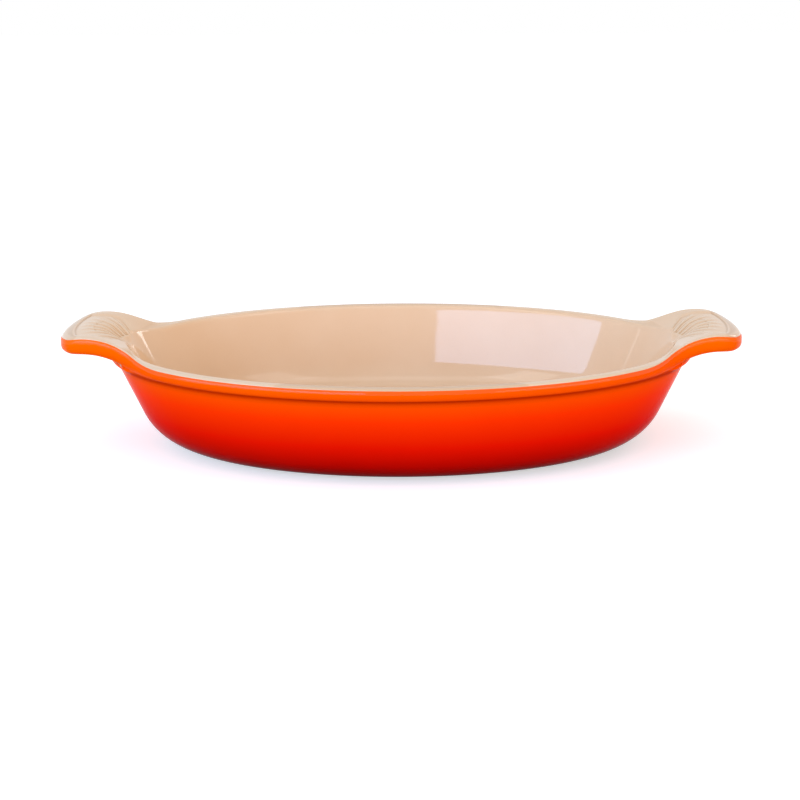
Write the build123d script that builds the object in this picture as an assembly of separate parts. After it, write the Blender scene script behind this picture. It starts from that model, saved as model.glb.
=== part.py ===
from build123d import *
import os
from math import acos, asin, cos, degrees, radians, sin, tan

# Oval gratin dish of glazed stoneware: one pressed clay body with a handle at each end,
# a cream glaze inside and over the handles, and a warm glaze outside and under the base.
# Millimetres. X runs along the dish, Z is up, and the origin lies midway under the
# foot ring, on the surface that the dish stands on.
# The dish is alike on both sides and at both ends, so a quarter of it is modelled.

# The dish as a whole
overall_length = 355.6
rim_height = 53.0
glaze_thickness = 0.4

# Rim band around the oval
oval_length = 300.0
oval_width = 199.6
band_height = 7.0
rim_top_radius = 2.0
band_edge_radius = 4.0

# The band runs on under the handles as a blunter lip
under_band_length = 306.0
under_band_width = 185.0
under_band_lift = 0.3
under_band_cover = 2.0

# Outer wall, base and foot ring
wall_length = 297.4
wall_width = 194.4
wall_lean = 25.0
base_radius = 31.0
foot_height = 1.5
foot_inset = 4.0
foot_width = 5.0
foot_edge_radius = 0.6

# Food well
well_length = 285.0
well_width = 184.0
well_depth = 43.5
well_floor_radius = 24.0
well_edge_radius = 3.5

# Handles, seen from above
handle_root_width = 70.8
handle_tip_width = 60.4
handle_cove_radius = 23.0
handle_corner_radius = 13.0
handle_tip_radius = 60.0

# Handles, seen from the side: a flat rim, a hollow root and a round crown
handle_rise = 10.5
handle_thickness = 9.4
crown_reach = 164.0
crown_plan_radius = 148.0
crown_radius = 34.0
crown_tip_radius = 24.0
root_radius = 10.0
under_root_radius = 14.0

# Scoop that leads from each handle's crown down to the well
scoop_reach = 136.0
scoop_crown_distance = 25.0
scoop_crown_radius = 12.0
scoop_slope = 37.0

# Sunk fan on each handle, with raised ribs and a plain lip outside it
fan_depth = 0.8
fan_start = 14.5
fan_spread = 68.0
fan_half_width = 26.5
lip_width = 9.8
lip_curve_radius = 90.0
rib_count = 9
rib_pitch = 15.5
rib_length = 12.5
rib_width_share = 0.5

# Where the cream glaze meets the warm one, and how far cutting tools overrun
glaze_line_inset = 0.8
glaze_split_depth = 3.0
overrun = 6.0

# How near an edge must lie to a surface, and how far from upright a wall may lean
speck = 0.01
upright_share = 0.01

handle_centre = crown_reach - crown_plan_radius
lean = radians(wall_lean)
slope = radians(scoop_slope)


def quadrant(low, high):
    """The first quarter of the plan, between two heights."""
    reach = overall_length
    return Pos(reach / 2, reach / 2, (low + high) / 2) * Box(reach, reach, high - low)


def turned(edges, centre):
    """A round solid about an upright axis, from edges drawn out from that axis."""
    face = Pos(centre, 0, 0) * (Plane.XZ * make_face(Curve() + edges))
    return revolve(face, Axis((centre, 0, 0), (0, 0, 1)), 360)


def squeezed(edges, half_length, half_width):
    """A quarter of an oval solid: a round one, squeezed across the dish."""
    quarter = revolve(Plane.XZ * make_face(Curve() + edges), Axis.Z, 90)
    return scale(quarter, by=(1, half_width / half_length, 1))


def handle_curve(flat, rise, root, crown, tip_crown):
    """Flat rim, hollow root and round crown of a handle, seen from the side."""
    turn = acos(1 - rise / (root + crown))
    start = crown_plan_radius - (root + crown) * sin(turn)
    end = overall_length / 2 - handle_centre + overrun
    tip_turn = asin((end - crown_plan_radius) / tip_crown)
    top = flat + rise
    return [
        Line((0, flat), (start, flat)),
        CenterArc((start, flat + root), root, -90, degrees(turn)),
        CenterArc((crown_plan_radius, top - crown), crown, 90 + degrees(turn), -degrees(turn)),
        CenterArc((crown_plan_radius, top - tip_crown), tip_crown, 90, -degrees(tip_turn)),
    ]


def top_curve(sink, skin):
    return handle_curve(
        rim_height - sink - skin,
        handle_rise,
        root_radius + skin,
        crown_radius - skin,
        crown_tip_radius - skin,
    )


def under_curve(skin):
    return handle_curve(
        rim_height - band_height + skin,
        handle_rise + band_height - handle_thickness,
        under_root_radius - skin,
        crown_radius + skin,
        crown_tip_radius + skin,
    )


def slab(skin):
    """What lies between the upper and the under side curve of the handles."""
    upper = top_curve(0, skin)
    lower = under_curve(skin)
    ends = [Line(upper[0] @ 0, lower[0] @ 0), Line(upper[-1] @ 1, lower[-1] @ 1)]
    return turned(upper + lower + ends, handle_centre)


def under_top(sink, skin):
    """What lies below the upper side curve, sunk by a depth."""
    upper = top_curve(sink, skin)
    start = upper[0] @ 0
    end = upper[-1] @ 1
    walls = [
        Line((start.X, start.Y), (start.X, 0)),
        Line((start.X, 0), (end.X, 0)),
        Line((end.X, 0), (end.X, end.Y)),
    ]
    return turned(upper + walls, handle_centre)


def scoop(sink, skin):
    """What the scoop takes off the handle: the space over a rounded cone."""
    centre_height = rim_height + handle_rise - scoop_crown_radius - sink
    radius = scoop_crown_radius - skin
    shoulder = (scoop_crown_distance - radius * sin(slope), centre_height + radius * cos(slope))
    apex = (0, shoulder[1] - shoulder[0] * tan(slope))
    crown = (scoop_crown_distance, centre_height + radius)
    ceiling = rim_height + 2 * handle_rise
    edges = [
        Line(apex, shoulder),
        CenterArc((scoop_crown_distance, centre_height), radius, 90 + scoop_slope, -scoop_slope),
        Line(crown, (scoop_crown_distance, ceiling)),
        Line((scoop_crown_distance, ceiling), (0, ceiling)),
        Line((0, ceiling), apex),
    ]
    return turned(edges, scoop_reach)


def outline(skin, low, high):
    """The outline of a quarter of the rim and half a handle, as an upright prism."""
    oval = Ellipse(oval_length / 2 - skin, oval_width / 2 - skin)
    taper = (handle_root_width - handle_tip_width) / (overall_length - oval_length)
    inner = oval_length / 4
    outer = overall_length / 2 + overrun
    inner_half = handle_root_width / 2 + taper * (oval_length / 2 - inner) - skin
    outer_half = handle_root_width / 2 - taper * (outer - oval_length / 2) - skin
    sides = Polygon(
        (inner, -inner_half),
        (outer, -outer_half),
        (outer, outer_half),
        (inner, inner_half),
        align=None,
    )
    tip = Pos(overall_length / 2 - handle_tip_radius, 0) * Circle(handle_tip_radius - skin)
    prism = Pos(0, 0, low) * extrude(oval + (sides & tip), high - low)
    prism = prism & quadrant(low, high)
    cove = corners_of(prism)[0]
    prism = fillet(cove, handle_cove_radius + skin)
    corner = corners_of(prism)[-1]
    return fillet(corner, handle_corner_radius - skin)


def corners_of(prism):
    """Upright edges away from the two cut faces, from the middle outwards."""
    edges = prism.edges().filter_by(Axis.Z)
    free = edges.filter_by(lambda edge: edge.center().X > speck and edge.center().Y > speck)
    return free.sort_by(Axis.X)


def rim_edges(plate, side):
    """Edges over (1) or under (-1) the plate's upright outer faces."""
    found = []
    for face in plate.faces():
        middle = face.center()
        outer = middle.X > speck and middle.Y > speck
        if outer and abs(face.normal_at().Z) < upright_share:
            for edge in face.edges():
                level = abs(edge.tangent_at(0.5).Z) < 1 - upright_share
                if level and side * (edge.center().Z - middle.Z) > 0:
                    found.append(edge)
    return found


def plate(skin):
    """A quarter of the rim band and handle, rounded along its outer edges."""
    shape = outline(skin, rim_height - 2 * band_height, rim_height + 2 * handle_rise)
    shape = shape & slab(skin)
    shape = fillet(rim_edges(shape, 1), rim_top_radius - skin)
    return fillet(rim_edges(shape, -1), band_edge_radius - skin)


def under_band(skin):
    """A quarter of the blunt lip that carries the band on under the handle."""
    low = rim_height - band_height + under_band_lift + skin
    high = rim_height - under_band_cover - skin
    oval = Ellipse(under_band_length / 2 - skin, under_band_width / 2 - skin)
    lip = Pos(0, 0, low) * extrude(oval, high - low)
    lip = fillet(lip.edges().group_by(Axis.Z)[0], band_edge_radius - skin)
    return lip & quadrant(low, high)


def wall_profile(half_length, top, floor, corner):
    """Half a section of a dish shape: floor, rounded corner, then a leaning wall."""
    turn = corner * (1 - sin(lean))
    foot = half_length - (top - floor - turn) * tan(lean)
    flat = foot - corner * cos(lean)
    return flat, [
        Line((0, floor), (flat, floor)),
        CenterArc((flat, floor + corner), corner, -90, 90 - wall_lean),
        Line((foot, floor + turn), (half_length, top)),
    ]


def bowl(skin):
    """A quarter of the outer bowl, still solid."""
    top = rim_height - band_height
    half_length = wall_length / 2 - skin / cos(lean)
    half_width = wall_width / 2 - skin / cos(lean)
    edges = wall_profile(half_length, top, foot_height + skin, base_radius - skin)[1]
    high = rim_height - band_height / 2
    edges += [
        Line((half_length, top), (half_length, high)),
        Line((half_length, high), (0, high)),
        Line((0, high), (0, foot_height + skin)),
    ]
    return squeezed(edges, half_length, half_width)


def well(skin):
    """A quarter of the space for food, which also opens upwards past the handles."""
    high = rim_height + handle_rise
    half_length = well_length / 2 + skin / cos(lean) + handle_rise * tan(lean)
    floor = rim_height - well_depth - skin
    edges = wall_profile(half_length, high, floor, well_floor_radius + skin)[1]
    edges += [Line((half_length, high), (0, high)), Line((0, high), (0, floor))]
    share = (well_width / 2 + skin / cos(lean)) / (well_length / 2 + skin / cos(lean))
    return squeezed(edges, half_length, half_length * share)


def lowered_top(depth, skin):
    """What lies below a handle's top and scoop, sunk by a depth."""
    return under_top(depth, skin) - scoop(depth, skin)


def rib(turn, skin):
    """One rib seen from above: a wedge that spreads from the middle of the scoop."""
    half = radians(rib_pitch * rib_width_share / 2)
    start = skin / sin(half)
    end = fan_start + rib_length - skin
    spread = (end - start) * tan(half)
    wedge = Polygon((start, 0), (end, -spread), (end, spread), align=None)
    return Pos(scoop_reach, 0) * Rot(0, 0, turn) * wedge


def fan(skin):
    """What the sunk fan takes off half a handle, with its ribs left standing."""
    spread = radians(fan_spread)
    reach = overall_length - oval_length
    apex = scoop_reach - skin / sin(spread)
    sector = Polygon((0, 0), (reach, 0), (reach * cos(spread), reach * sin(spread)), align=None)
    lip = Pos(overall_length / 2 - lip_width - lip_curve_radius, 0)
    panel = (Pos(apex, 0) * sector) & (lip * Circle(lip_curve_radius + skin))
    panel = panel & (Pos(scoop_reach, 0) * Rectangle(2 * reach, 2 * (fan_half_width + skin)))
    panel = panel - Pos(scoop_reach, 0) * Circle(fan_start - skin)
    for number in range((rib_count + 1) // 2):
        panel = panel - rib(number * rib_pitch, skin)
    prism = Pos(0, 0, rim_height) * extrude(panel, 2 * handle_rise)
    return prism - lowered_top(fan_depth, skin)


def base_oval(inset):
    """The outline of the flat base, drawn in by an inset."""
    top = rim_height - band_height
    flat = wall_profile(wall_length / 2, top, foot_height, base_radius)[0]
    return Ellipse(flat - inset, flat * wall_width / wall_length - inset)


def foot():
    """A quarter of the foot ring, which carries no glaze."""
    ring = base_oval(foot_inset) - base_oval(foot_inset + foot_width)
    solid = extrude(ring, foot_height + 2 * glaze_thickness)
    solid = fillet(solid.edges().group_by(Axis.Z)[0], foot_edge_radius)
    return solid & quadrant(0, rim_height)


def mouth_edges(shape, skin):
    """Edges around the mouth of the well: high ones that lie on the well's wall."""
    found = []
    for edge in shape.edges():
        middle = edge.position_at(0.5)
        half_length = well_length / 2 + skin / cos(lean)
        share = (well_width / 2 + skin / cos(lean)) / half_length
        half_length += (middle.Z - rim_height) * tan(lean)
        distance = (middle.X**2 + (middle.Y / share) ** 2) ** 0.5
        on_wall = abs(distance - half_length) < speck
        off_cut = middle.X > speck and middle.Y > speck
        if on_wall and off_cut and middle.Z > rim_height - band_height / 2:
            found.append(edge)
    return found


def dish(skin):
    """A quarter of the dish, all its glazed faces set back by a skin."""
    shape = plate(skin) - scoop(0, skin)
    shape = shape + bowl(skin) + under_band(skin)
    shape = shape - well(skin)
    shape = fillet(mouth_edges(shape, skin), well_edge_radius - skin)
    return shape - fan(skin) + foot()


def cream_zone():
    """A quarter of the space that holds the cream glaze: the top skin and the well."""
    top = outline(glaze_line_inset, rim_height - band_height, rim_height + 2 * handle_rise)
    return top - lowered_top(glaze_split_depth, 0) + well(glaze_split_depth)


def whole(quarter):
    """A whole piece, from its first quarter."""
    half = quarter + mirror(quarter, Plane.XZ)
    return half + mirror(half, Plane.YZ)


clay = dish(glaze_thickness)
glaze = dish(0) - clay
cream = glaze & cream_zone()
warm = glaze - cream_zone()
under_base = extrude(base_oval(foot_inset + foot_width / 2), foot_height + 2 * glaze_thickness)

pieces = {
    "stoneware_body": clay,
    "inside_glaze": cream,
    "outside_glaze": warm - under_base,
    "base_glaze": warm & under_base,
}

os.makedirs("parts", exist_ok=True)
for name, quarter in pieces.items():
    export_step(whole(quarter), f"parts/{name}.step")
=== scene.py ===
import bpy
import bmesh
from math import acos, asin, atan, atan2, cos, degrees, hypot, pi, radians, sin, sqrt, tan
from mathutils import Matrix, Vector


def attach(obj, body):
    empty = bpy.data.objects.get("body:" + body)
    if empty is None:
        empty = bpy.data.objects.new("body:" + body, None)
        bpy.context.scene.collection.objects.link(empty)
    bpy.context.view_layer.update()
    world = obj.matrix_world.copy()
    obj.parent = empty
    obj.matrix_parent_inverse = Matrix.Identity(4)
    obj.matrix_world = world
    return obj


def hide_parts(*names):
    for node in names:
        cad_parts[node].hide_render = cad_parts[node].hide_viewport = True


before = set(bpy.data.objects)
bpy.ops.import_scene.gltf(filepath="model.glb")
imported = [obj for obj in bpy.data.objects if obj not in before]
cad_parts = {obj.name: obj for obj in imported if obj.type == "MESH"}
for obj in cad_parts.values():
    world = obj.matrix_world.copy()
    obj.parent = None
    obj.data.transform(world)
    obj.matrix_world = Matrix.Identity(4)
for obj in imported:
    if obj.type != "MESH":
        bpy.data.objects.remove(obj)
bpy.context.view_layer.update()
print("frame loaded")

# Sizes of the dish that every piece shares, in millimetres and degrees
dish = {
    "length": 355.6,
    "rimHeight": 53.0,
    "ovalLength": 300.0,
    "ovalWidth": 199.6,
    "bandHeight": 7.0,
    "rimTopRadius": 2.6,
    "bandEdgeRadius": 4.0,
    "wallLength": 297.4,
    "wallWidth": 194.4,
    "wallLean": 25.0,
    "baseRadius": 31.0,
    "footHeight": 1.5,
    "footInset": 4.0,
    "footWidth": 5.0,
    "wellLength": 285.0,
    "wellWidth": 184.0,
    "wellDepth": 43.5,
    "wellFloorRadius": 24.0,
    "glazeThickness": 0.4,
    "glazeLineInset": 0.75,
}

# The handles: their outline from above, and their curve from the side
handle = {
    "rootWidth": 70.8,
    "tipWidth": 60.4,
    "coveRadius": 23.0,
    "cornerRadius": 13.0,
    "tipRadius": 60.0,
    "rise": 10.5,
    "thickness": 9.4,
    "crownReach": 164.0,
    "crownPlanRadius": 148.0,
    "crownRadius": 34.0,
    "crownTipRadius": 24.0,
    "rootRadius": 10.0,
    "underRootRadius": 14.0,
    "lipLength": 306.0,
    "lipWidth": 185.0,
    "lipLift": 0.3,
    "tipStart": 158.0,
    "tipEnd": 172.0,
    "tipTopRadius": 2.4,
    "tipEdgeRadius": 5.0,
    "coveSearch": (0.1, 1.4),  # angles of the oval, in radians, between which the cove meets it
}

lean = radians(dish["wallLean"])


def millimetres(value):
    return value / 1000


# Eases from zero at the low value to one at the high one
def smoothStep(low, high, value):
    share = min(1.0, max(0.0, (value - low) / (high - low)))
    return share * share * (3 - 2 * share)


# The lower of two values; the corner between them is rounded over a width, by a quarter of it
def softMin(first, second, width):
    blend = max(width - abs(first - second), 0.0) / width
    return min(first, second) - blend * blend * width / 4


searchSteps = 50  # halvings, more than a millionth of a millimetre needs


# Where, on the way from a low value to a high one, a test stops being true
def lastTrue(low, high, test):
    for step in range(searchSteps):
        middle = (low + high) / 2
        if test(middle):
            low = middle
        else:
            high = middle
    return low


def outOfOval(spot, length, width):
    return (2 * spot.x / length) ** 2 + (2 * spot.y / width) ** 2 > 1


# Height of the handle's side curve over the flat rim, at a plan distance from its own centre
def crownRise(distance, rise, root, crown, tipCrown):
    turn = acos(1 - rise / (root + crown))
    start = handle["crownPlanRadius"] - (root + crown) * sin(turn)
    if distance <= start:
        return 0.0
    if distance < start + root * sin(turn):
        return root - sqrt(root ** 2 - (distance - start) ** 2)
    past = distance - handle["crownPlanRadius"]
    radius = crown if past < 0 else tipCrown
    return rise - radius + sqrt(radius ** 2 - past ** 2)


# The scoop runs from each crown down to the well; the fan is pressed into the handle's top
fan = {
    "centreReach": 136.0,
    "farReach": 60.0,
    "scoopCrownDistance": 25.0,
    "scoopCrownRadius": 12.0,
    "scoopSlope": 37.0,
    "scoopBlend": 1.4,
    "depth": 0.8,
    "start": 12.0,
    "startBlend": 1.4,
    "spread": 66.0,
    "spreadBlend": 12.0,
    "halfWidth": 26.5,
    "sideBlend": 5.0,
    "lipWidth": 7.9,
    "lipCurveRadius": 90.0,
    "lipBlend": 1.3,
    "ribPitch": 15.5,
    "ribHeight": 0.55,
    "ribFlatShare": 0.2,
    "ribWidthShare": 0.62,
    "ribFadeStart": 20.0,
    "ribFadeEnd": 35.0,
}


def topHeight(x, y):
    x, y = abs(x), abs(y)
    rim = dish["rimHeight"]
    distance = hypot(x - handle["crownReach"] + handle["crownPlanRadius"], y)
    height = rim + crownRise(distance, handle["rise"], handle["rootRadius"],
                             handle["crownRadius"], handle["crownTipRadius"])
    reach = hypot(x - fan["centreReach"], y)
    if reach > fan["farReach"]:
        return height
    if height <= rim:
        return scooped(height, reach)
    return scooped(height, reach) + fanRelief(x, y, reach)


def scooped(height, reach):
    radius = fan["scoopCrownRadius"]
    slope = radians(fan["scoopSlope"])
    centre = dish["rimHeight"] + handle["rise"] - radius
    shoulder = fan["scoopCrownDistance"] - radius * sin(slope)
    if reach >= fan["scoopCrownDistance"]:
        return height
    if reach > shoulder:
        cone = centre + sqrt(radius ** 2 - (fan["scoopCrownDistance"] - reach) ** 2)
    else:
        cone = centre + radius * cos(slope) - (shoulder - reach) * tan(slope)
    return softMin(height, cone, fan["scoopBlend"])


# How far a spot lies from the flat lip at the handle's tip; less than zero is on it
def fromLip(x, y):
    lipCentre = dish["length"] / 2 - fan["lipWidth"] - fan["lipCurveRadius"]
    return fan["lipCurveRadius"] - hypot(x - lipCentre, y)


def fanRelief(x, y, reach):
    turn = degrees(atan2(y, x - fan["centreReach"]))
    panel = smoothStep(-fan["lipBlend"] / 2, fan["lipBlend"] / 2, fromLip(x, y))
    panel *= smoothStep(fan["start"] - fan["startBlend"], fan["start"], reach)
    panel *= 1 - smoothStep(fan["halfWidth"] - fan["sideBlend"], fan["halfWidth"], y)
    panel *= 1 - smoothStep(fan["spread"] - fan["spreadBlend"], fan["spread"], turn)
    phase = abs(turn / fan["ribPitch"] - round(turn / fan["ribPitch"])) * 2
    rib = 1 - smoothStep(fan["ribFlatShare"], fan["ribWidthShare"], phase)
    rib *= 1 - smoothStep(fan["ribFadeStart"], fan["ribFadeEnd"], reach)
    return panel * (rib * fan["ribHeight"] - fan["depth"])


def underHeight(x, y):
    distance = hypot(abs(x) - handle["crownReach"] + handle["crownPlanRadius"], y)
    rise = handle["rise"] + dish["bandHeight"] - handle["thickness"]
    flat = dish["rimHeight"] - dish["bandHeight"]
    return flat + crownRise(distance, rise, handle["underRootRadius"],
                            handle["crownRadius"], handle["crownTipRadius"])


# The outline from above, for a quarter of the dish: points, outward normals and oval angles
columns = {"handle": 92, "rim": 66}


def onCircle(centre, radius, turn):
    out = Vector((cos(turn), sin(turn)))
    return centre + out * radius, out


def quarterOutline():
    long, wide = dish["ovalLength"] / 2, dish["ovalWidth"] / 2
    taper = (handle["rootWidth"] - handle["tipWidth"]) / (dish["length"] - dish["ovalLength"])
    side = atan(taper)
    normal = Vector((sin(side), cos(side)))
    along = Vector((cos(side), -sin(side)))
    sideReach = normal.dot(Vector((long, handle["rootWidth"] / 2)))
    tipRadius, cornerRadius = handle["tipRadius"], handle["cornerRadius"]
    coveRadius = handle["coveRadius"]
    tipCentre = Vector((dish["length"] / 2 - tipRadius, 0))
    offset = sideReach - cornerRadius - normal.dot(tipCentre)
    gap = tipRadius - cornerRadius
    cornerCentre = tipCentre + normal * offset + along * sqrt(gap ** 2 - offset ** 2)

    def ovalPoint(angle):
        return Vector((long * cos(angle), wide * sin(angle)))

    def ovalNormal(angle):
        return Vector((cos(angle) / long, sin(angle) / wide)).normalized()

    def coveCentre(angle):
        return ovalPoint(angle) + ovalNormal(angle) * coveRadius

    # The cove is tangent to the oval and to the handle's straight side
    def beforeSide(angle):
        return normal.dot(coveCentre(angle)) - sideReach < coveRadius

    coveAngle = lastTrue(*handle["coveSearch"], beforeSide)
    cove = coveCentre(coveAngle)
    tipTurn = atan2(cornerCentre.y, cornerCentre.x - tipCentre.x)
    sideTurn = atan2(normal.y, normal.x)
    outward = ovalNormal(coveAngle)
    coveEnd = atan2(-outward.y, -outward.x)
    coveStart = sideTurn - pi
    lineStart = cornerCentre + normal * cornerRadius
    lineEnd = cove - normal * coveRadius
    tipPart = tipRadius * tipTurn
    cornerPart = tipPart + cornerRadius * (sideTurn - tipTurn)
    linePart = cornerPart + (lineEnd - lineStart).length
    whole = linePart + coveRadius * abs(coveEnd - coveStart)
    points = []
    for step in range(columns["handle"]):
        way = whole * step / columns["handle"]
        angle = coveAngle * step / columns["handle"]
        if way < tipPart:
            point, out = onCircle(tipCentre, tipRadius, way / tipRadius)
        elif way < cornerPart:
            point, out = onCircle(cornerCentre, cornerRadius, tipTurn + (way - tipPart) / cornerRadius)
        elif way < linePart:
            out = normal.copy()
            point = lineStart.lerp(lineEnd, (way - cornerPart) / (linePart - cornerPart))
        else:
            share = (way - linePart) / (whole - linePart)
            point, back = onCircle(cove, coveRadius, coveStart + (coveEnd - coveStart) * share)
            out = -back
        points.append((point, out, angle))
    for step in range(columns["rim"] + 1):
        angle = coveAngle + (pi / 2 - coveAngle) * step / columns["rim"]
        points.append((ovalPoint(angle), ovalNormal(angle), angle))
    return points


def insetPoint(column, inset):
    return column[0] - column[1] * inset


# Towards the handle's tip the band's lower rounding grows fuller, and its upper one a little tighter
def tipBlend(column, usual, atTip):
    return usual + (atTip - usual) * smoothStep(handle["tipStart"], handle["tipEnd"], column[0].x)


def topRadius(column):
    return tipBlend(column, dish["rimTopRadius"], handle["tipTopRadius"])


def edgeRadius(column):
    return tipBlend(column, dish["bandEdgeRadius"], handle["tipEdgeRadius"])


# Section of the food well and the cream top, from the middle of the floor to the glaze line
inside = {
    "floorRows": 6,
    "cornerRows": 12,
    "wallRows": 12,
    "mouthRows": 8,
    "mouthRadius": 3.5,
    "mouthDrop": 3.0,  # how far under the rim the mouth's corner may lie
    "probe": 1.0,
    "topRows": 56,
    "edgeRows": 5,
}


def insideSection(column):
    angle = column[2]
    share = dish["wellWidth"] / dish["wellLength"]
    floor = dish["rimHeight"] - dish["wellDepth"]
    radius = dish["wellFloorRadius"]
    turn = radius * (1 - sin(lean))
    foot = dish["wellLength"] / 2 - (dish["wellDepth"] - turn) * tan(lean)
    flat = foot - radius * cos(lean)

    def onWall(reach, height):
        return Vector((reach * cos(angle), reach * share * sin(angle), height))

    def wallReach(height):
        return dish["wellLength"] / 2 + (height - dish["rimHeight"]) * tan(lean)

    section = [onWall(flat * row / inside["floorRows"], floor) for row in range(inside["floorRows"])]
    for row in range(inside["cornerRows"]):
        bend = (pi / 2 - lean) * row / inside["cornerRows"]
        section.append(onWall(flat + radius * sin(bend), floor + radius * (1 - cos(bend))))

    # The corner at the mouth, where the wall comes up through the cream top, and its rounding
    def underTop(height):
        spot = onWall(wallReach(height), height)
        return topHeight(spot.x, spot.y) > height

    rim, probe = dish["rimHeight"], inside["probe"]
    mouth = lastTrue(rim - inside["mouthDrop"], rim + handle["rise"], underTop)
    corner = onWall(wallReach(mouth), mouth)
    edge = insetPoint(column, topRadius(column))
    toEdge = (edge - corner.xy).normalized()
    ahead = corner.xy + toEdge * probe
    rising = Vector((toEdge.x * probe, toEdge.y * probe, topHeight(ahead.x, ahead.y) - mouth))
    bend = rising.angle(corner - onWall(wallReach(mouth - probe), mouth - probe))
    reach = inside["mouthRadius"] * tan(bend / 2)
    below = mouth - reach * cos(lean)
    start = onWall(wallReach(below), below)
    bottom = floor + turn
    for row in range(inside["wallRows"]):
        height = bottom + (below - bottom) * row / inside["wallRows"]
        section.append(onWall(wallReach(height), height))
    end = corner.xy + toEdge * reach
    end = Vector((end.x, end.y, topHeight(end.x, end.y)))
    for row in range(inside["mouthRows"]):
        share = row / inside["mouthRows"]
        section.append(start.lerp(corner, share).lerp(corner.lerp(end, share), share))
    for row in range(inside["topRows"]):
        spot = end.xy.lerp(edge, row / inside["topRows"])
        section.append(Vector((spot.x, spot.y, topHeight(spot.x, spot.y))))
    for row in range(inside["edgeRows"] + 1):
        section.append(rimRounding(column, row / inside["edgeRows"] * glazeLineTurn(column)))
    return section


# How far round the rim's edge the cream glaze gives way to the warm one
def glazeLineTurn(column):
    radius = topRadius(column)
    return asin((radius - dish["glazeLineInset"]) / radius)


def rimRounding(column, turn):
    radius = topRadius(column)
    spot = insetPoint(column, radius * (1 - sin(turn)))
    return Vector((spot.x, spot.y, topHeight(spot.x, spot.y) - radius * (1 - cos(turn))))


# Section of the warm outside, from the glaze line down under the band and in to the foot ring
outside = {
    "edgeRows": 6,
    "sideRows": 3,
    "underEdgeRows": 8,
    "underRows": 10,
    "lipRows": 9,
    "lipUnderRows": 3,
    "wallRows": 16,
    "baseCornerRows": 16,
    "baseRows": 2,
    "wallGapLength": 0.5,  # the band's lower edge ends this far outside the wall's own oval
    "wallGapWidth": 0.4,
    "wallTopDrop": 0.3,
    "lipDepthShare": 0.75,
}


def wallProfile():
    top = dish["rimHeight"] - dish["bandHeight"]
    radius = dish["baseRadius"]
    turn = radius * (1 - sin(lean))
    foot = dish["wallLength"] / 2 - (top - dish["footHeight"] - turn) * tan(lean)
    return top, radius, turn, foot - radius * cos(lean)


def outsideSection(column):
    angle = column[2]
    share = dish["wallWidth"] / dish["wallLength"]
    top, radius, turn, flat = wallProfile()

    def onWall(reach, height):
        return Vector((reach * cos(angle), reach * share * sin(angle), height))

    def wallReach(height):
        return dish["wallLength"] / 2 - (top - height) * tan(lean)

    section = []
    start = glazeLineTurn(column)
    for row in range(outside["edgeRows"]):
        section.append(rimRounding(column, start + (pi / 2 - start) * row / outside["edgeRows"]))
    upper = rimRounding(column, pi / 2)
    edge = edgeRadius(column)
    lower = Vector((upper.x, upper.y, underHeight(upper.x, upper.y) + edge))
    for row in range(outside["sideRows"]):
        section.append(upper.lerp(lower, row / outside["sideRows"]))

    # The lower edge is cut short where the wall meets it
    wallLength = dish["wallLength"] + outside["wallGapLength"]
    wallWidth = dish["wallWidth"] + outside["wallGapWidth"]

    def beyondWall(inset):
        return outOfOval(insetPoint(column, inset), wallLength, wallWidth)

    reach = lastTrue(0.0, edge, beyondWall)

    def underPoint(spot, inset):
        height = underHeight(spot.x, spot.y)
        if inset < edge:
            height += edge - sqrt(edge ** 2 - (edge - inset) ** 2)
        return Vector((spot.x, spot.y, height))

    last = asin(1 - reach / edge)
    for row in range(outside["underEdgeRows"]):
        bend = pi / 2 + (last - pi / 2) * row / outside["underEdgeRows"]
        inset = edge * (1 - sin(bend))
        section.append(underPoint(insetPoint(column, inset), inset))
    begin = underPoint(insetPoint(column, reach), reach)

    # Under the handle the band runs on as a blunt lip
    lipLow = top + handle["lipLift"]
    wallTop = min(begin.z, lipLow) - outside["wallTopDrop"]
    finish = onWall(wallReach(wallTop), wallTop)
    way = finish.xy - begin.xy
    length = way.length
    way.normalize()

    def beyondLip(distance):
        return outOfOval(begin.xy + way * distance, handle["lipLength"], handle["lipWidth"])

    crossing = lastTrue(0.0, length, beyondLip)
    for row in range(outside["underRows"]):
        along = crossing * row / outside["underRows"]
        section.append(underPoint(begin.xy + way * along, reach + along))
    depth = min(edge, outside["lipDepthShare"] * (length - crossing))
    for row in range(outside["lipRows"]):
        bend = pi / 2 * row / (outside["lipRows"] - 1)
        along = crossing + depth * (1 - cos(bend))
        spot = underPoint(begin.xy + way * along, reach + along)
        spot.z = min(spot.z, max(lipLow + edge * (1 - sin(bend)), finish.z))
        section.append(spot)
    lipEnd = section[-1]
    for row in range(1, outside["lipUnderRows"] + 1):
        section.append(lipEnd.lerp(finish, row / (outside["lipUnderRows"] + 1)))

    bottom = dish["footHeight"] + turn
    for row in range(outside["wallRows"]):
        height = finish.z + (bottom - finish.z) * row / outside["wallRows"]
        section.append(onWall(wallReach(height), height))
    for row in range(outside["baseCornerRows"]):
        bend = (pi / 2 - lean) * (1 - row / outside["baseCornerRows"])
        height = dish["footHeight"] + radius * (1 - cos(bend))
        section.append(onWall(flat + radius * sin(bend), height))
    for row in range(outside["baseRows"] + 1):
        point = onWall(flat, dish["footHeight"])
        ring = footPoint(column, 0)
        section.append(point.lerp(ring, row / outside["baseRows"]))
    return section


def footPoint(column, inset):
    flat = wallProfile()[3]
    share = dish["wallWidth"] / dish["wallLength"]
    reach = dish["footInset"] + inset
    across = flat * share - reach
    return Vector(((flat - reach) * cos(column[2]), across * sin(column[2]), dish["footHeight"]))


# A whole ring of sections from those of a quarter
def wholeRing(quarter):
    mirrored = [[Vector((-p.x, p.y, p.z)) for p in section] for section in quarter[-2::-1]]
    half = quarter + mirrored
    other = [[Vector((p.x, -p.y, p.z)) for p in section] for section in half[-2:0:-1]]
    return half + other


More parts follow.
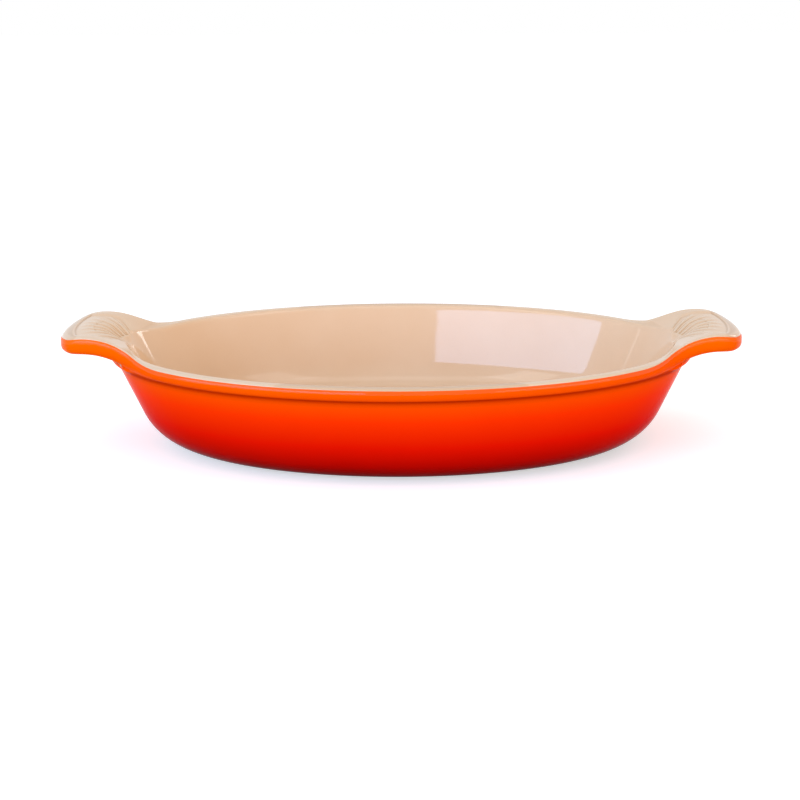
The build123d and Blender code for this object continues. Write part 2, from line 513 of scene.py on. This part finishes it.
# Points set back under the surface by a depth, along its normals. Neighbours nearer than the gap
# are passed over. The middle of a floor has no normal, so its point goes straight up from the
# underside and straight down from the well; the level lies between the two
backing = {"gap": 0.05, "noNormal": 1e-9, "middleLevel": 5.3}


def setBack(ring, depth, rows):
    count = len(ring)
    gap = backing["gap"]
    result = []
    for index, section in enumerate(ring):
        line = []
        for row in rows:
            before, after = max(row - 1, 0), min(row + 1, len(section) - 1)
            while before > 0 and (section[row] - section[before]).length < gap:
                before -= 1
            while after < len(section) - 1 and (section[after] - section[row]).length < gap:
                after += 1
            down = section[after] - section[before]
            around = ring[(index + 1) % count][row] - ring[index - 1][row]
            normal = around.cross(down)
            if normal.length < backing["noNormal"]:
                normal = Vector((0, 0, 1 if section[row].z < backing["middleLevel"] else -1))
            normal.normalize()
            line.append(section[row] + normal * depth)
        result.append(line)
    return result


# A closed skin from a ring of sections: a flat grid, moved into place and welded. A mark is a
# value for each point, kept on the mesh for its material to read
skin = {"gridHalf": 0.5, "weldGap": 0.0005}


def skinMesh(name, ring, marks=None):
    around, rows = len(ring), len(ring[0])
    half = skin["gridHalf"]
    made = bmesh.new()
    layers = {mark: made.verts.layers.float.new(mark) for mark in (marks or {})}
    bmesh.ops.create_grid(made, x_segments=rows - 1, y_segments=around, size=half)
    made.verts.ensure_lookup_table()
    for vert in made.verts:
        row = round((vert.co.x + half) / (2 * half) * (rows - 1))
        index = round((vert.co.y + half) / (2 * half) * around)
        vert.co = millimetres(ring[index % around][row])
        for mark, layer in layers.items():
            vert[layer] = marks[mark](ring[index % around], row)
    bmesh.ops.remove_doubles(made, verts=made.verts, dist=millimetres(skin["weldGap"]))
    bmesh.ops.recalc_face_normals(made, faces=made.faces)
    mesh = bpy.data.meshes.new(name)
    made.to_mesh(mesh)
    made.free()
    for face in mesh.polygons:
        face.use_smooth = True
    piece = bpy.data.objects.new(name, mesh)
    bpy.context.scene.collection.objects.link(piece)
    return piece


outline = quarterOutline()
insideRing = wholeRing([insideSection(column) for column in outline])
outsideRing = wholeRing([outsideSection(column) for column in outline])
print("sections ready:", len(insideRing), "columns")


# Fewer rows do for the hidden side: for each part of a section, its rows and the step through them
def hiddenRows(parts, last):
    rows, start = [], 0
    for count, step in parts:
        rows += range(start, start + count, step)
        start += count
    return rows if rows[-1] == last else rows + [last]


insideRows = hiddenRows([
    (inside["floorRows"], 3), (inside["cornerRows"], 2), (inside["wallRows"], 6),
    (inside["mouthRows"], 2), (inside["topRows"], 2), (inside["edgeRows"], 2),
], len(insideRing[0]) - 1)
outsideRows = hiddenRows([
    (outside["edgeRows"], 2), (outside["sideRows"], 3), (outside["underEdgeRows"], 2),
    (outside["underRows"], 2), (outside["lipRows"], 2), (outside["lipUnderRows"], 3),
    (outside["wallRows"], 8), (outside["baseCornerRows"], 2), (outside["baseRows"], 2),
], len(outsideRing[0]) - 1)
insideClay = setBack(insideRing, dish["glazeThickness"], insideRows)
outsideClay = setBack(outsideRing, dish["glazeThickness"], outsideRows)


# Glaze runs off crests and gathers in hollows: above zero where it lies thick, below where it is thin.
# The darker colour in hollows is partly glaze pooling and partly painted shade; the dark line along the
# edge of the bare lip and the dark red in the crease under the band are painted shade
poolAndShade = {
    "probe": 0.8,
    "fullDepth": 0.16,
    "rimThin": -0.6,
    "rimReach": 2.2,
    "creaseReach": 2.6,
    "lipShade": 0.95,
    "lipShadeReach": 1.2,
}
topStart = sum(inside[part] for part in ("floorRows", "cornerRows", "wallRows", "mouthRows"))
topEnd = topStart + inside["topRows"]
creaseRow = sum(outside[part] for part in (
    "edgeRows", "sideRows", "underEdgeRows", "underRows", "lipRows", "lipUnderRows"))


def creamPoolAndShade(section, row):
    if row < topStart or row > topEnd + inside["edgeRows"]:
        return 0.0
    x, y = section[min(row, topEnd)].xy
    probe = poolAndShade["probe"]
    # Darker in hollows: partly glaze pooling, partly painted shade
    around = (topHeight(x + probe, y) + topHeight(x - probe, y)
              + topHeight(x, y + probe) + topHeight(x, y - probe)) / 4
    gathered = (around - topHeight(x, y)) / poolAndShade["fullDepth"]
    # Painted shade: a dark line along the step at the edge of the flat lip
    onLip = 1 - smoothStep(-poolAndShade["lipShadeReach"], poolAndShade["lipShadeReach"], fromLip(abs(x), abs(y)))
    gathered += poolAndShade["lipShade"] * onLip
    toRim = (section[min(row, topEnd)] - section[topEnd]).length
    thin = poolAndShade["rimThin"] * (1 - smoothStep(0.0, poolAndShade["rimReach"], toRim))
    return max(-1.0, min(1.0, gathered + thin))


# Painted shade: the share of dark red along the crease under the band, fading over a few millimetres
def warmCreaseShade(section, row):
    if row > creaseRow + outside["wallRows"]:
        return 0.0
    away = (section[row] - section[creaseRow]).length
    return 1 - smoothStep(0.0, poolAndShade["creaseReach"], away)


# The crisp highlights lie on the band's upper rounding, where the clear coat is thickest, and
# fade towards the handles' tips
gloss = {"rim": 0.5, "tip": 0.1, "fadeStart": 160.0, "fadeEnd": 172.0}


def rimGloss(section, row):
    if row > outside["edgeRows"]:
        return 0.0
    toTip = smoothStep(gloss["fadeStart"], gloss["fadeEnd"], abs(section[row].x))
    return gloss["rim"] + (gloss["tip"] - gloss["rim"]) * toTip


insideGlaze = skinMesh("cream_glaze_coat", [
    outer + inner[::-1] for outer, inner in zip(insideRing, insideClay)], {"glaze_pool_and_shade": creamPoolAndShade})
outsideGlaze = skinMesh("warm_glaze_coat", [
    outer + inner[::-1] + outer[:1] for outer, inner in zip(outsideRing, outsideClay)],
    {"glaze_pool_and_shade": warmCreaseShade, "rim_gloss": rimGloss})
print("glaze coats ready")

# The fired clay under the coats, with the bare foot ring that the dish stands on
clay = {
    "footEdgeRadius": 0.6,
    "footEdgeRows": 4,
}


def footSection(column):
    section = []
    radius = clay["footEdgeRadius"]
    low = footPoint(column, 0)
    outer, inner = footPoint(column, radius), footPoint(column, dish["footWidth"] - radius)
    for row in range(clay["footEdgeRows"] + 1):
        bend = pi / 2 * row / clay["footEdgeRows"]
        spot = low.lerp(outer, 1 - cos(bend))
        section.append(Vector((spot.x, spot.y, radius * (1 - sin(bend)))))
    far = footPoint(column, dish["footWidth"])
    for row in range(clay["footEdgeRows"] + 1):
        bend = pi / 2 * row / clay["footEdgeRows"]
        spot = inner.lerp(far, sin(bend))
        section.append(Vector((spot.x, spot.y, radius * (1 - cos(bend)))))
    roof = dish["footHeight"] + dish["glazeThickness"]
    section.append(Vector((far.x, far.y, roof)))
    section.append(Vector((0, 0, roof)))
    return section


footRing = wholeRing([footSection(column) for column in outline])
clayRing = [
    first + second[1:] + third
    for first, second, third in zip(insideClay, outsideClay, footRing)]
clayBody = skinMesh("fired_clay_body", clayRing)
print("clay body ready")

for piece, node, slot in (
    (insideGlaze, "inside_glaze", "cream_glaze"),
    (outsideGlaze, "outside_glaze", "warm_glaze"),
    (clayBody, "stoneware_body", "bare_stoneware"),
):
    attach(piece, "root")
    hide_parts(node)


# Colours are sRGB hex values; this turns one to linear light, by the constants of the sRGB curve
def colour(code):
    channels = []
    for start in (0, 2, 4):
        value = int(code[start:start + 2], 16) / 255
        channels.append(value / 12.92 if value <= 0.04045 else ((value + 0.055) / 1.055) ** 2.4)
    return (*channels, 1.0)


def addNode(tree, kind, settings=None, links=None):
    node = tree.nodes.new(kind)
    for key, value in (settings or {}).items():
        if isinstance(key, str) and hasattr(node, key):
            setattr(node, key, value)
        else:
            node.inputs[key].default_value = value
    for key, socket in (links or {}).items():
        tree.links.new(socket, node.inputs[key])
    return node


def setRamp(node, stops):
    ramp = node.color_ramp
    while len(ramp.elements) < len(stops):
        ramp.elements.new(1.0)  # its place is set below
    for element, (place, value) in zip(ramp.elements, stops):
        element.position = place
        element.color = value


def newMaterial(name):
    material = bpy.data.materials.new(name)
    material.use_nodes = True
    tree = material.node_tree
    tree.nodes.clear()
    return material, tree


def finishMaterial(tree, shader):
    addNode(tree, "ShaderNodeOutputMaterial", None, {"Surface": shader.outputs[0]})


def noise(tree, place, size, detail):
    return addNode(tree, "ShaderNodeTexNoise", {
        "Scale": 1 / millimetres(size), "Detail": detail}, {"Vector": place}).outputs["Fac"]


# A Mix node's colour sockets go by number, since they share their names with its other kinds
mixSockets = {"share": 0, "first": 6, "second": 7, "result": 2}


# A hex colour laid by a share over another hex colour or over what a socket gives
def tinted(tree, under, over, share):
    settings = {"data_type": "RGBA", mixSockets["second"]: colour(over)}
    links = {mixSockets["share"]: share}
    if isinstance(under, str):
        settings[mixSockets["first"]] = colour(under)
    else:
        links[mixSockets["first"]] = under
    return addNode(tree, "ShaderNodeMix", settings, links).outputs[mixSockets["result"]]


# How thick the glaze lies, with the painted shade in hollows, along the lip and in the crease, from its
# mark on the mesh, times a factor and held within zero and one
def poolAndShadeShare(tree, factor):
    mark = addNode(tree, "ShaderNodeAttribute", {"attribute_name": "glaze_pool_and_shade"}).outputs["Fac"]
    return addNode(tree, "ShaderNodeMath", {
        "operation": "MULTIPLY", "use_clamp": True, 1: factor}, {0: mark}).outputs[0]


# Fine iron specks that have come up through the glaze
def specked(tree, place, tint, glaze):
    cells = addNode(tree, "ShaderNodeTexVoronoi", {
        "Scale": 1 / millimetres(glaze["speckSize"])}, {"Vector": place})
    share = addNode(tree, "ShaderNodeValToRGB", None, {"Fac": cells.outputs["Distance"]})
    middle = (glaze["speckStrength"],) * 3
    setRamp(share, [(0.0, (*middle, 1.0)), (glaze["speckReach"], (0.0, 0.0, 0.0, 1.0))])
    return tinted(tree, tint, glaze["speck"], share.outputs["Color"])


# The slight waves of a glaze that has run, too shallow to be shape
def waves(tree, place, glaze):
    height = noise(tree, place, glaze["waveSize"], glaze["waveDetail"])
    bump = addNode(tree, "ShaderNodeBump", {
        "Distance": millimetres(glaze["waveDepth"]), "Strength": 1.0}, {"Height": height})
    return bump.outputs["Normal"]


# Cream glaze over stoneware: a glassy coat, darker and warmer in the hollows (partly glaze pooling, partly
# painted shade) and along the lip's step (painted shade), thin and paler over crests and the rim, with the
# slight waves and fine iron specks of a fired glaze
creamGlaze = {
    "pale": "ecc8a4",
    "deep": "e4ba90",
    "cloudSize": 36.0,
    "cloudDetail": 3.0,
    # The darker colour of hollows and of the lip's step: partly glaze pooling, partly painted shade
    "pooledAndShaded": "b88550",
    "pooledAndShadedShare": 0.75,
    "thin": "e2c8a8",
    "thinShare": 0.8,
    "speck": "a8773f",
    "speckSize": 2.2,
    "speckReach": 0.09,
    "speckStrength": 0.3,
    "waveSize": 16.0,
    "waveDetail": 1.0,
    "waveDepth": 0.05,
    "roughness": 0.06,
    "ior": 1.54,
}


def makeCreamGlaze():
    material, tree = newMaterial("cream_glazed_stoneware")
    place = addNode(tree, "ShaderNodeTexCoord").outputs["Object"]
    cloud = noise(tree, place, creamGlaze["cloudSize"], creamGlaze["cloudDetail"])
    tint = tinted(tree, creamGlaze["pale"], creamGlaze["deep"], cloud)
    # Darker in hollows (partly glaze pooling, partly painted shade) and along the lip's step (painted
    # shade)
    tint = tinted(tree, tint, creamGlaze["pooledAndShaded"], poolAndShadeShare(tree, creamGlaze["pooledAndShadedShare"]))
    tint = tinted(tree, tint, creamGlaze["thin"], poolAndShadeShare(tree, -creamGlaze["thinShare"]))
    tint = specked(tree, place, tint, creamGlaze)
    shader = addNode(tree, "ShaderNodeBsdfPrincipled", {
        "Roughness": creamGlaze["roughness"], "IOR": creamGlaze["ior"]},
        {"Base Color": tint, "Normal": waves(tree, place, creamGlaze)})
    finishMaterial(tree, shader)
    return material


# Warm shaded glaze: orange at the rim, sprayed over to deep red at the base, darkened by painted shade in
# the crease under the band, with a clear coat that lights up along the rim's edge.
# The shades go up from the foot, as shares of the height to the handles' crowns
warmGlaze = {
    "shades": [
        (0.0, "5a0200"),
        (0.08, "8c0300"),
        (0.16, "b80500"),
        (0.33, "e41200"),
        (0.55, "fe3200"),
        (0.72, "ff5000"),
        (1.0, "ff6a00"),
    ],
    "driftSize": 40.0,
    "driftDetail": 2.0,
    "driftHeight": 1.2,  # how far the sprayed shades wander up and down
    # Painted shade along the crease under the band
    "crease": "a81c00",
    "creaseShare": 0.85,
    "speck": "b02800",
    "speckSize": 2.6,
    "speckReach": 0.08,
    "speckStrength": 0.3,
    "waveSize": 14.0,
    "waveDetail": 1.0,
    "waveDepth": 0.04,
    "roughness": 0.14,
    "ior": 1.15,
    "specular": 0.03,
    "coatRoughness": 0.04,
}


def makeWarmGlaze():
    material, tree = newMaterial("shaded_glazed_stoneware")
    place = addNode(tree, "ShaderNodeTexCoord").outputs["Object"]
    axes = addNode(tree, "ShaderNodeSeparateXYZ", None, {"Vector": place})
    drift = noise(tree, place, warmGlaze["driftSize"], warmGlaze["driftDetail"])
    wander = millimetres(warmGlaze["driftHeight"])
    spray = addNode(tree, "ShaderNodeMapRange", {"To Min": -wander, "To Max": wander}, {"Value": drift})
    level = addNode(tree, "ShaderNodeMath", {"operation": "ADD"},
                    {0: axes.outputs["Z"], 1: spray.outputs["Result"]})
    crown = millimetres(dish["rimHeight"] + handle["rise"])
    height = addNode(tree, "ShaderNodeMapRange", {"From Min": 0.0, "From Max": crown},
                     {"Value": level.outputs[0]})
    shade = addNode(tree, "ShaderNodeValToRGB", None, {"Fac": height.outputs["Result"]})
    setRamp(shade, [(share, colour(code)) for share, code in warmGlaze["shades"]])
    # Painted shade: dark red along the crease under the band
    creaseShare = poolAndShadeShare(tree, warmGlaze["creaseShare"])
    tint = tinted(tree, shade.outputs["Color"], warmGlaze["crease"], creaseShare)
    tint = specked(tree, place, tint, warmGlaze)
    clear = addNode(tree, "ShaderNodeAttribute", {"attribute_name": "rim_gloss"}).outputs["Fac"]
    shader = addNode(tree, "ShaderNodeBsdfPrincipled", {
        "Roughness": warmGlaze["roughness"], "IOR": warmGlaze["ior"],
        "Specular IOR Level": warmGlaze["specular"], "Coat Roughness": warmGlaze["coatRoughness"]},
        {"Base Color": tint, "Normal": waves(tree, place, warmGlaze), "Coat Weight": clear})
    finishMaterial(tree, shader)
    return material


# Fired stoneware without glaze: matt, sandy and faintly speckled
bareClay = {"pale": "d8c6a8", "dark": "b59f80", "gritSize": 1.1111, "gritDetail": 4.0, "roughness": 0.85}


def makeBareClay():
    material, tree = newMaterial("unglazed_stoneware")
    place = addNode(tree, "ShaderNodeTexCoord").outputs["Object"]
    grit = noise(tree, place, bareClay["gritSize"], bareClay["gritDetail"])
    tint = tinted(tree, bareClay["pale"], bareClay["dark"], grit)
    shader = addNode(tree, "ShaderNodeBsdfPrincipled", {"Roughness": bareClay["roughness"]},
                     {"Base Color": tint})
    finishMaterial(tree, shader)
    return material


cream, warm, bare = makeCreamGlaze(), makeWarmGlaze(), makeBareClay()
insideGlaze.data.materials.append(cream)
outsideGlaze.data.materials.append(warm)
clayBody.data.materials.append(bare)
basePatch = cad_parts["base_glaze"]
basePatch.data.materials.clear()
basePatch.data.materials.append(warm)
print("materials ready")

# The floor and the room: white to the eye and to reflections, and a plain fill light
room = {"floorSize": 6.0, "floorColour": "e6e6e6", "floorLift": 0.55, "fill": 0.585}


# One for rays from the camera, a gloss or a glass, and zero for the rays that light the dish
def seenRays(tree):
    path = addNode(tree, "ShaderNodeLightPath")
    seen = path.outputs["Is Camera Ray"]
    for kind in ("Is Glossy Ray", "Is Transmission Ray"):
        either = addNode(tree, "ShaderNodeMath", {"operation": "MAXIMUM"},
                         {0: seen, 1: path.outputs[kind]})
        seen = either.outputs[0]
    return seen


def makeFloor():
    made = bmesh.new()
    bmesh.ops.create_grid(made, x_segments=1, y_segments=1, size=room["floorSize"] / 2)
    mesh = bpy.data.meshes.new("studio_floor")
    made.to_mesh(mesh)
    made.free()
    floor = bpy.data.objects.new("studio_floor", mesh)
    bpy.context.scene.collection.objects.link(floor)
    material, tree = newMaterial("white_studio_floor")
    lift = addNode(tree, "ShaderNodeMath", {"operation": "MULTIPLY", 1: room["floorLift"]},
                   {0: seenRays(tree)})
    paint = addNode(tree, "ShaderNodeBsdfDiffuse", {"Color": colour(room["floorColour"])})
    glow = addNode(tree, "ShaderNodeEmission", {"Color": (1, 1, 1, 1)}, {"Strength": lift.outputs[0]})
    both = addNode(tree, "ShaderNodeAddShader", None, {0: paint.outputs[0], 1: glow.outputs[0]})
    finishMaterial(tree, both)
    mesh.materials.append(material)


def makeWorld():
    world = bpy.data.worlds.new("studio_world")
    bpy.context.scene.world = world
    world.use_nodes = True
    tree = world.node_tree
    tree.nodes.clear()
    strength = addNode(tree, "ShaderNodeMapRange", {"To Min": room["fill"], "To Max": 1.0},
                       {"Value": seenRays(tree)})
    back = addNode(tree, "ShaderNodeBackground", {"Color": (1, 1, 1, 1)},
                   {"Strength": strength.outputs["Result"]})
    addNode(tree, "ShaderNodeOutputWorld", None, {"Surface": back.outputs[0]})


# Upright softboxes, as seen from the dish: bearing, width and heights in degrees, distance in
# metres, and brightness
softboxes = {
    "key_softbox": {
        "turn": -43, "span": 66, "low": 3, "high": 31.5, "distance": 1.5, "bright": 4.7, "light": "a8ccff"},
    "right_softbox": {
        "turn": 47, "span": 42, "low": 2, "high": 17, "distance": 1.5, "bright": 4.5, "light": "f6dcc0"},
    "back_left_strip": {
        "turn": -109, "span": 2, "low": 17, "high": 24, "distance": 1.5, "bright": 1.3, "light": "ffffff"},
    "back_right_strip": {
        "turn": 140, "span": 8, "low": 12, "high": 28, "distance": 1.5, "bright": 3.5, "light": "ffffff"},
}

# Soft panels above the dish, in metres: a wide one over its front, and one high up to each side
panels = {
    "overhead_panel": {"size": (1.3, 0.5), "place": (0.0, -0.35, 1.5), "bright": 0.8},
    "high_left_panel": {"size": (0.4, 0.7), "place": (-0.72, -0.5, 1.1), "bright": 1.6},
    "high_right_panel": {"size": (0.4, 0.7), "place": (0.72, -0.5, 1.1), "bright": 1.1},
}


def aimAt(thing, spot):
    thing.rotation_mode = "QUATERNION"
    thing.rotation_quaternion = (spot - thing.location).to_track_quat("-Z", "Y")


# A flat lamp of a given brightness, whatever its size
def addLamp(name, size, bright, place, target):
    light = bpy.data.lights.new(name, "AREA")
    light.shape = "RECTANGLE"
    light.size, light.size_y = size
    light.energy = bright * pi * light.size * light.size_y
    lamp = bpy.data.objects.new(name, light)
    lamp.location = place
    aimAt(lamp, Vector(target))
    bpy.context.scene.collection.objects.link(lamp)
    return light


def makeLights():
    for name, box in softboxes.items():
        turn, distance = radians(box["turn"]), box["distance"]
        bottom, top = distance * tan(radians(box["low"])), distance * tan(radians(box["high"]))
        width = 2 * distance * tan(radians(box["span"] / 2))
        height = (bottom + top) / 2
        place = (distance * sin(turn), -distance * cos(turn), height)
        light = addLamp(name, (width, top - bottom), box["bright"], place, (0, 0, height))
        light.color = colour(box["light"])[:3]
    for name, panel in panels.items():
        addLamp(name, panel["size"], panel["bright"], panel["place"], (0, 0, 0))


# The camera stands in front of the dish and a little above it, with a slight roll. Lengths are in
# metres, those of the lens and its sensor in millimetres
view = {
    "distance": 1.0,
    "rise": 15.0,
    "aimHeight": 0.0215,
    "roll": -0.24,
    "lens": 85.0,
    "sensor": 36.0,
    "shift": -0.002,
}


def makeCamera():
    lens = bpy.data.cameras.new("view_camera")
    lens.lens = view["lens"]
    lens.sensor_width = view["sensor"]
    lens.shift_x = view["shift"]
    camera = bpy.data.objects.new("view_camera", lens)
    rise = radians(view["rise"])
    aim = Vector((0, 0, view["aimHeight"]))
    camera.location = aim + view["distance"] * Vector((0, -cos(rise), sin(rise)))
    aimAt(camera, aim)
    roll = Matrix.Rotation(radians(view["roll"]), 3, "Z").to_quaternion()
    camera.rotation_quaternion = camera.rotation_quaternion @ roll
    bpy.context.scene.collection.objects.link(camera)
    bpy.context.scene.camera = camera


makeFloor()
makeWorld()
makeLights()
makeCamera()
bpy.context.scene.view_settings.view_transform = "Standard"
print("studio ready")
